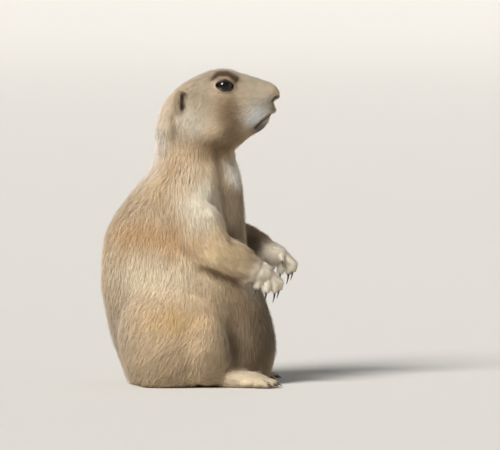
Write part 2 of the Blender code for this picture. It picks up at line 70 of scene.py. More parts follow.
# The hands: each digit's radius, how far it runs back to its bend and how high its knuckle stands
THUMB, FINGER = (2.1, 2.0, 0.8), (3.3, 3.0, 3.2)
PALM_RISE, PALM_RADII = 3.6, (8.2, 8.4, 8.0, 7.2)

# How far the coat stands out from the skin, and how long its tufts are, on each region
DEPTH = {"body": 1.8, "arm": 1.2, "head": 0.8, "muzzle": 0.3, "eye": 0.3, "ear": 0.35, "paw": 0.3}
LENGTH = {"body": 7.2, "arm": 4.6, "head": 4.2, "muzzle": 2.0, "eye": 1.6, "ear": 1.8, "paw": 2.4}
LIFT = {"body": 12, "arm": 13, "head": 14, "muzzle": 18, "eye": 16, "ear": 20, "paw": 24}

# The coat: fine straight tufts all over, and longer bent ones among them. Each kind has its count, how many
# make a piece, the spread of its lengths, and its width: a base, its growth with length, and two limits
FINE = {"count": 270000, "a_piece": 46000, "spread": (0.6, 1.1), "width": (0.13, 0.028, 0.15, 0.34)}
LONG = {"count": 34000, "a_piece": 19000, "spread": (0.85, 1.3), "width": (0.11, 0.03, 0.14, 0.36)}
CLUMP_OF, CLUMP_HOLD = 16, 0.22
BEND_AT = 0.45
ROOT_LIFT, TIP_LIFT = 2.1, 0.35
ROOT_SUNK = 0.15
STRAY_SHARE, STRAY_LIFT = 0.12, 1.5
SIDE_LIGHT = 0.3
FLOOR_CLEARANCE = 0.05
BAKE_PATCH = 0.003

# The face, in the head's own directions
MOUTH_LINE = ((38.0, -19.2), (33.0, -20.6), (28.0, -24.0), (22.5, -29.2))
MOUTH_WIDTH, MOUTH_DEPTH = 1.1, 1.3
LIP_RISE, CHIN_RISE, NOSTRIL_RISE = 0.4, 1.3, 0.35
NOSTRIL_DEPTH, CLEFT_DEPTH = 1.5, 0.7
CHIN = (27, 0, -31)
NOSTRIL_LINE = ((39.0, 1.4, -8.4), (37.2, 3.6, -8.2), (34.0, 4.6, -10.6))
LID_HALF_LONG, LID_HALF_HIGH = 6.2, 3.5
BROW_LINE = ((-7.6, 5.4), (-3.6, 9.4), (3.8, 9.6), (8.6, 5.4))
EYE_LOOK = (0.20, 0.96, 0.16)

LIMBS = ("ear", "upper_arm", "forearm", "hand", "haunch", "foot")
FLESH = ["head", "neck", "chest", "abdomen", "tail", "tail_tip", "nose"]
FLESH += [f"{word}_{limb}" for word, _ in SIDES for limb in LIMBS]

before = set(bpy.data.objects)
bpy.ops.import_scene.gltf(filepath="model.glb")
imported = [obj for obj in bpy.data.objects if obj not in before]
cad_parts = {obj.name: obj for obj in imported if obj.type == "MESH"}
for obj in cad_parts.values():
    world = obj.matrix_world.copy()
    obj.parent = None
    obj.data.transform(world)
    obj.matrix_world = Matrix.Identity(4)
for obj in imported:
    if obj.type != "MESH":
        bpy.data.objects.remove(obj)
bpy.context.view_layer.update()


# Reading the frame
def box_mm(node):
    """A node's lowest and highest corners in millimetres."""
    low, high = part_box(node)
    return np.array(low) / MM, np.array(high) / MM


def middle_of(node):
    low, high = box_mm(node)
    return (low + high) / 2


def meeting(near, far):
    """The middle of where two nodes' boxes overlap."""
    (low_a, high_a), (low_b, high_b) = box_mm(near), box_mm(far)
    return (np.maximum(low_a, low_b) + np.minimum(high_a, high_b)) / 2


def values_of(items, field, width, kind=float):
    """One field of all of a mesh's items, as rows of numbers."""
    flat = np.empty(len(items) * width, dtype=kind)
    items.foreach_get(field, flat)
    return flat.reshape(-1, width)


def verts_of(mesh):
    return values_of(mesh.vertices, "co", 3) / MM


def normals_of(mesh):
    return values_of(mesh.vertex_normals, "vector", 3)


def claw_line(node):
    """The root and the tip of a claw, the root being its thicker end."""
    points = verts_of(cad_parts[node].data)
    middle = points.mean(axis=0)
    _, _, axes = np.linalg.svd(points - middle, full_matrices=False)
    along = (points - middle) @ axes[0]
    ends = [points[along < along.min() + 0.6], points[along > along.max() - 0.6]]
    spread = [np.linalg.norm(end - end.mean(axis=0), axis=1).mean() for end in ends]
    root, tip = (ends[0], ends[1]) if spread[0] > spread[1] else (ends[1], ends[0])
    return root.mean(axis=0), tip.mean(axis=0)


EYES = {word: middle_of(f"{word}_eye") for word, _ in SIDES}
EARS = {word: middle_of(f"{word}_ear") for word, _ in SIDES}
EYE_RADIUS = float(np.ptp(box_mm("right_eye"), axis=0).max() / 2)
EYE_LINE = (EYES["right"] + EYES["left"]) / 2
HEAD_SIDE = (EYES["left"] - EYES["right"]) / np.linalg.norm(EYES["left"] - EYES["right"])
HEAD_AXIS = np.array([HEAD_SIDE[1], -HEAD_SIDE[0], 0.0])
UP = np.array([0.0, 0.0, 1.0])
BODY_MIDDLE = float((box_mm("right_haunch")[0][1] + box_mm("left_haunch")[1][1]) / 2)
CLAWS = {
    (word, group): [claw_line(f"{word}_{group}_claw_{i}") for i in range(1, 6)]
    for word, _ in SIDES for group in ("finger", "toe")
}
ELBOWS = {word: meeting(f"{word}_upper_arm", f"{word}_forearm") for word, _ in SIDES}
WRISTS = {word: meeting(f"{word}_forearm", f"{word}_hand") for word, _ in SIDES}
SHOULDERS = {
    word: np.array([box_mm(f"{word}_upper_arm")[0][0] + 20, side * 26, box_mm(f"{word}_upper_arm")[1][2] - 8])
    for word, side in SIDES
}
FINGERTIPS = {word: np.mean([root for root, _ in CLAWS[word, "finger"]], axis=0) for word, _ in SIDES}
TAIL_TIP = middle_of("tail_tip")
TAIL_RUN = (middle_of("tail") - (6, 14, 0), meeting("tail", "tail_tip"), TAIL_TIP + (10, 6, 0))


# Small helpers for meshes and arrays
def new_object(name, mesh):
    made = bpy.data.objects.new(name, mesh)
    bpy.context.scene.collection.objects.link(made)
    return made


def mesh_from(form, name):
    """A mesh from a bmesh, which is freed."""
    mesh = bpy.data.meshes.new(name)
    form.to_mesh(mesh)
    form.free()
    return mesh


def settled(obj):
    """Applies the object's modifiers."""
    bpy.context.view_layer.update()
    mesh = bpy.data.meshes.new_from_object(obj.evaluated_get(bpy.context.evaluated_depsgraph_get()))
    obj.modifiers.clear()
    obj.data = mesh
    return obj


def put_verts(mesh, points):
    mesh.vertices.foreach_set("co", (points * MM).ravel())
    mesh.update()


def neighbour_mean(values, edges):
    """The mean of each vertex's neighbours."""
    count = len(values)
    ends = np.concatenate([edges[:, 0], edges[:, 1]])
    starts = np.concatenate([edges[:, 1], edges[:, 0]])
    degree = np.maximum(np.bincount(ends, minlength=count), 1)
    columns = [np.bincount(ends, weights=column[starts], minlength=count) / degree for column in values.T]
    return np.stack(columns, axis=1)


def unit(vectors):
    return vectors / np.maximum(np.linalg.norm(vectors, axis=-1, keepdims=True), 1e-9)


def smoothstep(low, high, value):
    """0 up to low, 1 from high on and a smooth ramp between them. Low may be the larger one."""
    t = np.clip((value - low) / (high - low), 0, 1)
    return t * t * (3 - 2 * t)


def blob(points, centre, radii, hardness=2.0):
    """1 at a centre and a half on an ellipsoid round it. A greater hardness gives a sharper edge."""
    away = np.linalg.norm((points - np.array(centre)) / np.array(radii), axis=1)
    return np.exp(-math.log(2) * away ** (2 * hardness))


def segment_distance(points, start, end):
    """How far points are from a segment, and how far along it from 0 to 1."""
    start, end = np.array(start, float), np.array(end, float)
    run = end - start
    along = np.clip((points - start) @ run / (run @ run), 0, 1)
    return np.linalg.norm(points - (start + along[:, None] * run), axis=1), along


def line_distance(points, line):
    """How far points are from a polyline."""
    return np.min([segment_distance(points, a, b)[0] for a, b in zip(line, line[1:])], axis=0)


def wander(points, size, seed):
    """Smooth noise from -1 to 1 with lumps of a given size."""
    rng = np.random.default_rng(seed)
    total = np.zeros(len(points))
    for _ in range(9):
        heading = unit(rng.normal(size=3))
        total += np.sin(points @ heading * (2 * math.pi / size) * rng.uniform(0.6, 1.5) + rng.uniform(0, 6.3))
    return np.clip(total / 4.5, -1, 1)


# Regions of the body
def on_head(points):
    """Points in the head's own directions: ahead of the eyes, aside to its left, and above the eyes."""
    away = points - EYE_LINE
    return np.stack([away @ HEAD_AXIS, away @ HEAD_SIDE, away[:, 2]], axis=1)


def mirrored(points, middle=0.0):
    """Points with their distance from a middle plane in place of Y, so that both sides are alike."""
    return np.stack([points[:, 0], np.abs(points[:, 1] - middle), points[:, 2]], axis=1)


def head_share(points):
    return smoothstep(-50, -38, points[:, 2] - EYE_LINE[2] + 0.20 * (points[:, 0] - EYE_LINE[0]))


def muzzle_share(points):
    return head_share(points) * smoothstep(4, 24, on_head(points)[:, 0])


def pair_share(points, centres, radii, hardness=2.0):
    """The greater share of a right and a left blob."""
    return np.max([blob(points, centre, radii, hardness) for centre in centres.values()], axis=0)


def ear_share(points):
    return pair_share(points, EARS, (9, 6, 13), 3)


def ear_slit(points, word, side, wider=0.0):
    """How much points lie in one ear's opening, a narrow slit that widens at both ends."""
    middle = EARS[word] + HEAD_AXIS * 0.8 + HEAD_SIDE * side * 0.5 + UP * 1.6
    share = blob(points, middle, (0.7 + wider, 4.0, 5.0), 2)
    for rise, radius in ((4.0, 2.3), (-4.6, 2.7)):
        share = np.maximum(share, blob(points, middle + UP * rise, (radius + wider, 4.0, radius), 2))
    return share


def eye_share(points):
    return pair_share(points, EYES, (12, 9, 10))


def arm_share(points):
    return np.max([
        smoothstep(17, 9, segment_distance(points, ELBOWS[word], WRISTS[word])[0]) for word, _ in SIDES
    ], axis=0)


def paw_share(points):
    """How much points belong to a hand or a foot."""
    share = np.zeros(len(points))
    for word, _ in SIDES:
        run = FINGERTIPS[word] - WRISTS[word]
        distance, _ = segment_distance(points, WRISTS[word] + run * 0.35, FINGERTIPS[word] + run * 0.2)
        share = np.maximum(share, smoothstep(15.0, 8.5, distance))
        (_, low, _), (_, high, _) = box_mm(f"{word}_foot")
        beside = smoothstep(low - 4, low + 1, points[:, 1]) * smoothstep(high + 4, high - 1, points[:, 1])
        foot = beside * smoothstep(12, 26, points[:, 0]) * smoothstep(13, 9.5, points[:, 2])
        share = np.maximum(share, foot)
    return share


def by_region(points, values):
    """A value for each point, from those of the regions."""
    result = np.full(len(points), float(values["body"]))
    shares = (("arm", arm_share), ("head", head_share), ("muzzle", muzzle_share))
    shares += (("eye", eye_share), ("ear", ear_share), ("paw", paw_share))
    for name, share in shares:
        result += (values[name] - result) * share(points)
    return result


def fine_share(points):
    """How much points need a fine surface: 1 on the face and the paws."""
    return np.max([
        paw_share(points), muzzle_share(points),
        pair_share(points, EYES, (13, 12, 11), 3), pair_share(points, EARS, (10, 9, 14), 3),
    ], axis=0)


def lid_frame(side):
    """The directions along one eye's lids, up across them and out along its line of sight."""
    look = unit(HEAD_AXIS * EYE_LOOK[0] + HEAD_SIDE * side * EYE_LOOK[1] + UP * EYE_LOOK[2])
    along = unit(HEAD_AXIS - UP * 0.06 - look * ((HEAD_AXIS - UP * 0.06) @ look))
    return along, np.cross(look, along) * side, look


def lid_reach(points, word, side):
    """How far out from the lids' middle points lie: 1 on the lids' edge, and large away from the eye."""
    along, up, look = lid_frame(side)
    away = points - EYES[word]
    reach = np.hypot(away @ along / LID_HALF_LONG, away @ up / LID_HALF_HIGH)
    near = (np.linalg.norm(away, axis=1) < 15) & (away @ look > 0)
    return np.where(near, reach, FAR)


def mouth_distance(points):
    """How far points are from the line of the mouth seen from the side, which drops away from the middle."""
    inside = mirrored(on_head(points))
    side_view = inside[:, [0, 2]] + np.stack([0 * inside[:, 0], 0.12 * inside[:, 1]], axis=1)
    return np.where(inside[:, 0] > MOUTH_LINE[-1][0] - 4, line_distance(side_view, MOUTH_LINE), FAR)


def nostril_distance(points):
    return line_distance(mirrored(on_head(points)), NOSTRIL_LINE)


# The skin
END_ANGLES = (0.6, 1.2)


def turns_of(count):
    """The angles of a whole turn in equal steps."""
    return [2 * math.pi * k / count for k in range(count)]


def join_rings(form, near, far):
    """Adds the faces between two rings of as many points to a bmesh."""
    for k in range(len(near)):
        j = (k + 1) % len(near)
        form.faces.new((near[k], near[j], far[j], far[k]))


def capsule_chain(form, centres, radii, sides=14):
    """Adds a closed tube with rounded ends, through centres with the given radii, to a bmesh."""
    centres = [Vector(c) for c in centres]
    first = (centres[1] - centres[0]).normalized()
    last = (centres[-1] - centres[-2]).normalized()
    start, end = radii[0], radii[-1]
    rows = [(centres[0] - first * start * math.sin(a), first, start * math.cos(a)) for a in END_ANGLES[::-1]]
    for i, (centre, radius) in enumerate(zip(centres, radii)):
        run = (centres[min(i + 1, len(centres) - 1)] - centres[max(i - 1, 0)]).normalized()
        rows.append((centre, run, radius))
    rows += [(centres[-1] + last * end * math.sin(a), last, end * math.cos(a)) for a in END_ANGLES]
    across = first.orthogonal()
    rings = []
    for centre, run, radius in rows:
        across = (across - run * across.dot(run)).normalized()
        up = run.cross(across)
        rings.append([
            form.verts.new((centre + (across * math.cos(a) + up * math.sin(a)) * radius) * MM)
            for a in turns_of(sides)
        ])
    for near, far in zip(rings, rings[1:]):
        join_rings(form, near, far)
    form.faces.new(list(reversed(rings[0])))
    form.faces.new(rings[-1])


def hand_forms(form, word):
    """One hand: the palm from the wrist, and each finger from its claw over its knuckle into the palm."""
    wrist, ends = WRISTS[word], FINGERTIPS[word]
    run = unit(ends - wrist)
    backhand = unit(UP + HEAD_AXIS * 0.9)
    palm = wrist + (ends - wrist) * 0.45 + backhand * PALM_RISE
    for i, (root, tip) in enumerate(CLAWS[word, "finger"]):
        thick, bent, rise = THUMB if i == 4 else FINGER
        back = unit(root - tip)
        bend = root + back * bent + backhand * 0.4
        knuckle = root * 0.45 + palm * 0.55 + backhand * rise
        centres = [root + back * 0.3, bend, knuckle, palm]
        capsule_chain(form, centres, [thick * 0.82, thick, thick * 1.16, 5.0])
    centres = [wrist - run * 9 + UP * 1.5, wrist, wrist * 0.4 + palm * 0.6, palm + backhand * 0.8]
    capsule_chain(form, centres, PALM_RADII, sides=24)


def toe_forms(form, word):
    """The toes of one hind foot, each from its claw back over the foot."""
    for root, tip in CLAWS[word, "toe"]:
        back = unit((root - tip) * (1, 1, 0))
        raised = np.array([0, 0, 0.9])
        centres = [root + back * 0.2, root + back * 4 + raised, root + back * 10 + raised, root + back * 17]
        capsule_chain(form, centres, [1.8, 2.2, 2.4, 2.6])


def skin_blank():
    """One surface of the flesh's solids, swelled until they meet, with hands drawn anew and finer toes."""
    form = bmesh.new()
    for node in FLESH:
        if node.endswith("hand"):
            continue
        part = bmesh.new()
        part.from_mesh(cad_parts[node].data)
        bmesh.ops.remove_doubles(part, verts=part.verts, dist=1e-6)
        part.normal_update()
        for vertex in part.verts:
            vertex.co += vertex.normal * SWELL * MM
        form.from_mesh(mesh_from(part, "swelled"))
    for word, _ in SIDES:
        hand_forms(form, word)
        toe_forms(form, word)
    obj = new_object("skin", mesh_from(form, "skin"))
    remesh = obj.modifiers.new("fuse", "REMESH")
    remesh.mode = "VOXEL"
    remesh.voxel_size = SKIN_VOXEL * MM
    return settled(obj)


def signed_distance(flat, line):
    """How far flat points are from a polyline, negative on its left as it runs."""
    best = np.full(len(flat), np.inf)
    signed = np.zeros(len(flat))
    for start, end in zip(line, line[1:]):
        distance, _ = segment_distance(flat, start, end)
        run = np.array(end, float) - np.array(start, float)
        turn = (flat[:, 0] - start[0]) * run[1] - (flat[:, 1] - start[1]) * run[0]
        nearer = distance < best
        best = np.where(nearer, distance, best)
        signed = np.where(nearer, np.copysign(distance, turn), signed)
    return signed


def fold_lines(word):
    """The folds beside one shoulder and thigh and under the forearm, each with depth, reach and fade."""
    eye, elbow, wrist = (np.array(place)[[0, 2]] for place in (EYE_LINE, ELBOWS[word], WRISTS[word]))
    shoulder = [eye + place for place in SHOULDER_FROM_EYE] + [elbow + place for place in SHOULDER_FROM_ELBOW]
    thigh = [eye + place for place in THIGH_FROM_EYE]
    return (
        (shoulder, SHOULDER_FOLD, SHOULDER_REACH, SHOULDER_FADE),
        (thigh, THIGH_FOLD, THIGH_REACH, THIGH_FADE),
        ([wrist + UNDER_WRIST, elbow + UNDER_ELBOW], ARM_FOLD, ARM_REACH, ARM_FADE),
    )


def beyond_fold(points, line, fade):
    """How far points are past a fold seen from the side, and how much it counts, less towards its ends."""
    flat = points[:, [0, 2]]
    first, last = line[0], line[-1]
    length = np.linalg.norm(last - first)
    place = (flat - first) @ (last - first) / length
    along = smoothstep(-fade, fade, place) * smoothstep(length + fade, length - fade, place)
    return -signed_distance(flat, line), along


def fold_skin(mesh):
    """Sinks the breast beside each shoulder, the belly beside each thigh and the flank under each forearm."""
    points, normals = verts_of(mesh), normals_of(mesh)
    push = np.zeros(len(points))
    for word, side in SIDES:
        outside = smoothstep(10, 26, (points[:, 1] - BODY_MIDDLE) * side)
        for line, depth, reach, fade in fold_lines(word):
            past, along = beyond_fold(points, line, fade)
            sink = smoothstep(-1.5, 2, past) * smoothstep(reach + 8, reach - 5, past)
            swell = np.exp(-((past + 6) / 5) ** 2)
            push += (0.35 * depth * swell - depth * sink) * along * outside
    put_verts(mesh, points + normals * push[:, None])


def relaxed(points, edges, share, steps):
    """Points drawn towards their neighbours' mean by each one's share, a number of times."""
    for _ in range(steps):
        points = points + (neighbour_mean(points, edges) - points) * share[:, None]
    return points


def smooth_skin(mesh):
    """Takes the solids' facets away: most on the rump and shoulder blades, least on the face and paws."""
    points, edges = verts_of(mesh), values_of(mesh.edges, "vertices", 2, np.int64)
    fine = fine_share(points)
    points = relaxed(points, edges, BODY_EASE * (1 - fine) + FACE_EASE * fine, FACE_SMOOTHING)
    points = relaxed(points, edges, BODY_EASE * (1 - fine), BODY_SMOOTHING - FACE_SMOOTHING)
    ahead, aside, height = mirrored(points, BODY_MIDDLE).T
    rump = smoothstep(-18, -34, ahead) * smoothstep(100, 84, height) * smoothstep(9, 20, height)
    blade = smoothstep(8, -8, ahead) * smoothstep(128, 142, height) * smoothstep(190, 176, height)
    weight = np.maximum(rump, blade * smoothstep(8, 16, aside))
    soft = weight > 0
    inner = soft[edges].all(axis=1)
    numbers = np.cumsum(soft) - 1
    points[soft] = relaxed(points[soft], numbers[edges[inner]], SOFT_EASE * weight[soft], SOFT_SMOOTHING)
    put_verts(mesh, points)


def toe_grooves(points):
    """How deep the skin sinks between neighbouring toes."""
    sink = np.zeros(len(points))
    for word, _ in SIDES:
        for (root, tip), (other_root, other_tip) in zip(CLAWS[word, "toe"], CLAWS[word, "toe"][1:]):
            front = (root + other_root) / 2 + UP * 2
            back = front + unit((root - tip + other_root - other_tip) * (1, 1, 0)) * 9
            distance, along = segment_distance(points, front, back)
            sink = np.maximum(sink, smoothstep(1.9, 0.2, distance) * (1 - 0.8 * along))
    return 1.3 * sink


def rim(distance, reach, width):
    """A soft ridge that stands a given reach away from a line."""
    return np.exp(-((distance - reach) / width) ** 2)


def carve_skin(mesh):
    """Cuts the mouth, the nostrils, the cleft of the lip and the toe grooves, and raises lips and chin."""
    points, normals = verts_of(mesh), normals_of(mesh)
    inside = on_head(points)
    ahead, aside, above = mirrored(inside).T
    mouth, nostril = mouth_distance(points), nostril_distance(points)
    push = -MOUTH_DEPTH * smoothstep(MOUTH_WIDTH, 0.2, mouth)
    push += LIP_RISE * rim(mouth, 2.2, 0.9)
    push -= NOSTRIL_DEPTH * smoothstep(1.5, 0.2, nostril)
    push += NOSTRIL_RISE * rim(nostril, 2.1, 0.7)
    cleft = smoothstep(1.0, 0.1, aside) * smoothstep(33, 36, ahead)
    push -= CLEFT_DEPTH * cleft * smoothstep(-19.5, -18.5, above) * smoothstep(-8, -10, above)
    push += CHIN_RISE * blob(inside, CHIN, (9, 8, 4.5), 1.3) * smoothstep(1.0, 2.5, mouth)
    push -= toe_grooves(points)
    put_verts(mesh, points + normals * push[:, None])


def draw_in_skin(mesh):
    """Draws the skin in by the coat's depth and lays it on the floor."""
    points = verts_of(mesh)
    points -= normals_of(mesh) * by_region(points, DEPTH)[:, None]
    points[:, 2] = np.maximum(points[:, 2], 0.0)
    put_verts(mesh, points)


def thin_skin(obj):
    """Fewer triangles on the body, keeping the face and the paws fine."""
    points = verts_of(obj.data)
    fine = np.round(np.maximum(fine_share(points), head_share(points) * 0.6) * FINE_LEVELS)
    group = obj.vertex_groups.new(name="coarse")
    for level in range(FINE_LEVELS + 1):
        group.add(np.nonzero(fine == level)[0].tolist(), 1 - 0.8 * level / FINE_LEVELS, "REPLACE")
    modifier = obj.modifiers.new("thin", "DECIMATE")
    modifier.ratio = SKIN_TRIANGLES / (2 * len(obj.data.polygons))
    modifier.vertex_group = "coarse"
    return settled(obj)


def unwrap(obj):
    """An unwrap of the skin's own shape, for the baked colours."""
    bpy.ops.object.select_all(action="DESELECT")
    bpy.context.view_layer.objects.active = obj
    obj.select_set(True)
    obj.data.uv_layers.new(name="OFBake")
    bpy.ops.object.mode_set(mode="EDIT")
    bpy.ops.mesh.select_all(action="SELECT")
    bpy.ops.uv.smart_project(angle_limit=math.radians(66), island_margin=0.002)
    bpy.ops.object.mode_set(mode="OBJECT")


def make_skin():
    """The one skin over all the flesh, with its markings, its painted shade and its unwrap."""
    obj = skin_blank()
    fold_skin(obj.data)
    smooth_skin(obj.data)
    draw_in_skin(obj.data)
    carve_skin(obj.data)
    thin_skin(obj)
    colour_layer(obj.data, painted(verts_of(obj.data)))
    unwrap(obj)
    obj.data.shade_smooth()
    obj.data.materials.append(skin_material())
    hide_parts(*FLESH)
    return obj


# The markings and the painted shade: colour, centre, radii, strength and how sharp the edge is. They are
# alike on both sides.
BUFF = (0.67, 0.51, 0.335)
BODY_MARKS_AND_SHADE = (
    # Back from the loins up to the shoulders, and the pale nape
    ((0.40, 0.305, 0.21), (-52, 0, 132), (26, 34, 44), 0.78, 1.3),
    ((0.78, 0.71, 0.62), (-34, 0, 184), (13, 30, 30), 0.9, 1.5),
    # Rusty patches along the upper side, the pale shoulder and the pale band under them
    ((0.52, 0.36, 0.21), (-16, 30, 160), (15, 18, 14), 0.7, 1.2),
    ((0.58, 0.43, 0.27), (-28, 36, 140), (14, 18, 13), 0.7, 1.2),
    ((0.55, 0.33, 0.16), (-40, 40, 114), (26, 26, 9), 0.75, 1.2),
    ((0.58, 0.36, 0.18), (-12, 40, 106), (20, 20, 8), 0.6, 1.2),
    ((0.93, 0.85, 0.69), (2, 36, 137), (13, 22, 19), 0.92, 1.2),
    ((0.80, 0.68, 0.49), (-36, 44, 84), (40, 26, 12), 0.85, 1.2),
    # The pale outer side of the forearm, and painted shade on its inner side towards the body
    ((0.93, 0.70, 0.42), (16, 46, 100), (20, 12, 14), 0.85, 1.3),
    ((0.13, 0.09, 0.06), (36, 17, 106), (27, 9, 14), 0.9, 1.4),
    # Thigh, its lower part and the greyer rump
    ((0.66, 0.45, 0.22), (-17, 54, 52), (20, 20, 9), 0.85, 1.2),
    ((0.48, 0.36, 0.23), (-16, 54, 16), (30, 26, 18), 0.8, 1.2),
    ((0.34, 0.275, 0.21), (-68, 20, 36), (23, 40, 40), 0.85, 1.2),
    # Painted shade on the belly's front and on its upper front, darkest in the crease between thigh and belly
    ((0.115, 0.085, 0.055), (44, 0, 40), (22, 40, 46), 0.9, 1.2),
    ((0.38, 0.27, 0.17), (30, 26, 62), (12, 18, 12), 0.8, 1.2),
    ((0.09, 0.06, 0.037), (25, 40, 35), (8, 16, 13), 0.8, 1.2),
    # Breast: a pale patch under the throat, over painted shade on the breast's front
    ((0.33, 0.25, 0.175), (32, 0, 132), (16, 28, 26), 0.8, 1.3),
    ((0.92, 0.87, 0.78), (28, 10, 160), (9, 16, 10), 0.9, 1.5),
)
HEAD_MARKS_AND_SHADE = (
    # Crown, the side behind the eye, and the pale cheek end
    ((0.37, 0.31, 0.235), (-6, 0, 8), (34, 26, 16), 0.85, 1.3),
    ((0.41, 0.34, 0.245), (-18, 22, -8), (18, 12, 14), 0.72, 1.2),
    ((0.78, 0.71, 0.58), (-24, 24, -26), (12, 14, 11), 0.85, 1.3),
    # The throat, brown fur darkened as painted shadow under the jaw; the brown jaw angle and the brown patch
    # under the eye
    ((0.28, 0.18, 0.095), (-4, 18, -44), (20, 18, 8), 0.85, 1.4),
    ((0.28, 0.19, 0.11), (9, 16, -31), (6, 14, 12), 0.75, 1.3),
    ((0.26, 0.175, 0.10), (5, 20, -17), (8.5, 10, 11), 0.88, 1.5),
    # Bridge, whisker pad, its bluish lower part, and painted shade on the chin
    ((0.34, 0.30, 0.225), (20, 0, 0), (18, 14, 9), 0.85, 1.4),
    ((0.40, 0.37, 0.32), (27, 9, -14), (13, 10, 9), 0.85, 1.4),
    ((0.84, 0.86, 0.84), (23, 10, -22.5), (8, 8, 6.5), 0.88, 1.3),
    ((0.155, 0.145, 0.13), (27, 0, -31), (12, 9, 4.5), 0.85, 1.5),
    # The brown between brow and eye, and painted shade in a fold of the neck fur behind the ear
    ((0.30, 0.20, 0.125), (0.5, 12, 6), (9, 9, 4.5), 0.75, 1.4),
    ((0.30, 0.23, 0.16), (-37, 26, -28), (2.4, 9, 12), 0.75, 1.5),
)
# Colours of single marks. The forearm crease, the ring round the lids, the ear's opening, the mouth and the
# nostrils are painted shade
ARM_CREASE_SHADE = (0.16, 0.09, 0.045)
BROW_DARK = (0.060, 0.034, 0.022)
PAW_PALE = (0.97, 0.84, 0.68)
FOOT_BUFF = (0.74, 0.60, 0.41)
EYE_RING = (0.60, 0.50, 0.38)
EYE_SHADE = (0.25, 0.17, 0.105)
LID_DARK = (0.030, 0.022, 0.018)
EAR_RIM = (0.18, 0.13, 0.09)
EAR_OPENING_SHADE = (0.10, 0.066, 0.045)
MOUTH_SHADE = (0.12, 0.095, 0.085)
NOSTRIL_SHADE = (0.05, 0.035, 0.03)
NOSE_BROWN = (0.16, 0.11, 0.09)
WHISKER_DARK = (0.05, 0.04, 0.035)
EYE_BROWNS = ((0.003, 0.0025, 0.002), (0.010, 0.006, 0.004))
HORN_BROWNS = ((0.022, 0.016, 0.012), (0.10, 0.072, 0.050))
TAIL_WHITE = (0.80, 0.74, 0.62)


def paint_over(colour, paint, share):
    """Mixes a paint into colours by each point's share."""
    colour += (np.array(paint) - colour) * np.clip(share, 0, 1)[:, None]


def painted(points):
    """The coat's linear colour at points, markings and painted shade, the same for skin and tufts."""
    colour = np.tile(np.array(BUFF), (len(points), 1))
    drift = np.stack([wander(points, 16, seed) for seed in (1, 2, 3)], axis=1)
    body = mirrored(points + drift * 3.5, BODY_MIDDLE)
    head = mirrored(on_head(points + drift * 0.9))
    on_it = smoothstep(-62, -50, points[:, 2] - EYE_LINE[2])
    for patches, places, share in ((BODY_MARKS_AND_SHADE, body, 1.0), (HEAD_MARKS_AND_SHADE, head, on_it)):
        for paint, centre, radii, strength, hardness in patches:
            paint_over(colour, paint, blob(places, centre, radii, hardness) * strength * share)
    brow = line_distance(head[:, [0, 2]], BROW_LINE)
    paint_over(colour, BROW_DARK, 0.92 * smoothstep(3.0, 1.0, brow) * smoothstep(6, 10, head[:, 1]) * on_it)
    for word, side in SIDES:
        # Painted shade in the crease under the forearm
        under_arm, _, _, fade = fold_lines(word)[2]
        past, along = beyond_fold(points, under_arm, fade)
        crease = smoothstep(-3.5, -0.5, past) * smoothstep(4.5, 1.0, past)
        crease *= along * smoothstep(18, 26, (points[:, 1] - BODY_MIDDLE) * side)
        paint_over(colour, ARM_CREASE_SHADE, 0.75 * crease)
        run = FINGERTIPS[word] - WRISTS[word]
        distance, _ = segment_distance(points, WRISTS[word] + run * 0.45, FINGERTIPS[word])
        paint_over(colour, PAW_PALE, 0.9 * smoothstep(20, 8, distance + drift[:, 0] * 2.0))
    paint_over(colour, PAW_PALE, 0.9 * paw_share(points))
    paint_over(colour, FOOT_BUFF, 0.7 * paw_share(points) * smoothstep(26, 16, points[:, 2]))
    tail = smoothstep(26, 6, np.linalg.norm(points - TAIL_TIP, axis=1)) * (points[:, 2] < 16)
    paint_over(colour, TAIL_WHITE, 0.8 * tail)
    behind = smoothstep(-2, -7, on_head(points)[:, 0])
    for word, side in SIDES:
        reach = lid_reach(points, word, side)
        round_eye = rim(reach, 1.42, 0.3)
        # Painted shade in a ring just round the lids; behind the eye the same ring is pale fur
        paint_over(colour, EYE_SHADE, 0.7 * round_eye)
        paint_over(colour, EYE_RING, 0.6 * behind * round_eye)
        paint_over(colour, LID_DARK, smoothstep(1.24, 1.08, reach))
        paint_over(colour, EAR_RIM, 0.75 * blob(points, EARS[word] - HEAD_AXIS * 0.8, (4.8, 6, 9.4), 1.7))
        # Painted shade in the ear's opening
        paint_over(colour, EAR_OPENING_SHADE, 0.9 * ear_slit(points, word, side))
    # Painted shade along the mouth's crease and in the nostrils
    paint_over(colour, MOUTH_SHADE, 0.9 * smoothstep(1.7, 0.6, mouth_distance(points)))
    paint_over(colour, NOSTRIL_SHADE, 0.95 * smoothstep(1.9, 0.9, nostril_distance(points)))
    tone = 1 + 0.05 * wander(points, 5, 4) + 0.05 * wander(points, 11, 5)
    return np.clip(colour * tone[:, None], 0.01, 0.95)


def colour_layer(mesh, colours):
    layer = mesh.color_attributes.new("Coat", "FLOAT_COLOR", "POINT")
    rgba = np.ones((len(colours), 4), dtype=np.float32)
    rgba[:, :3] = colours
    layer.data.foreach_set("color", rgba.ravel())


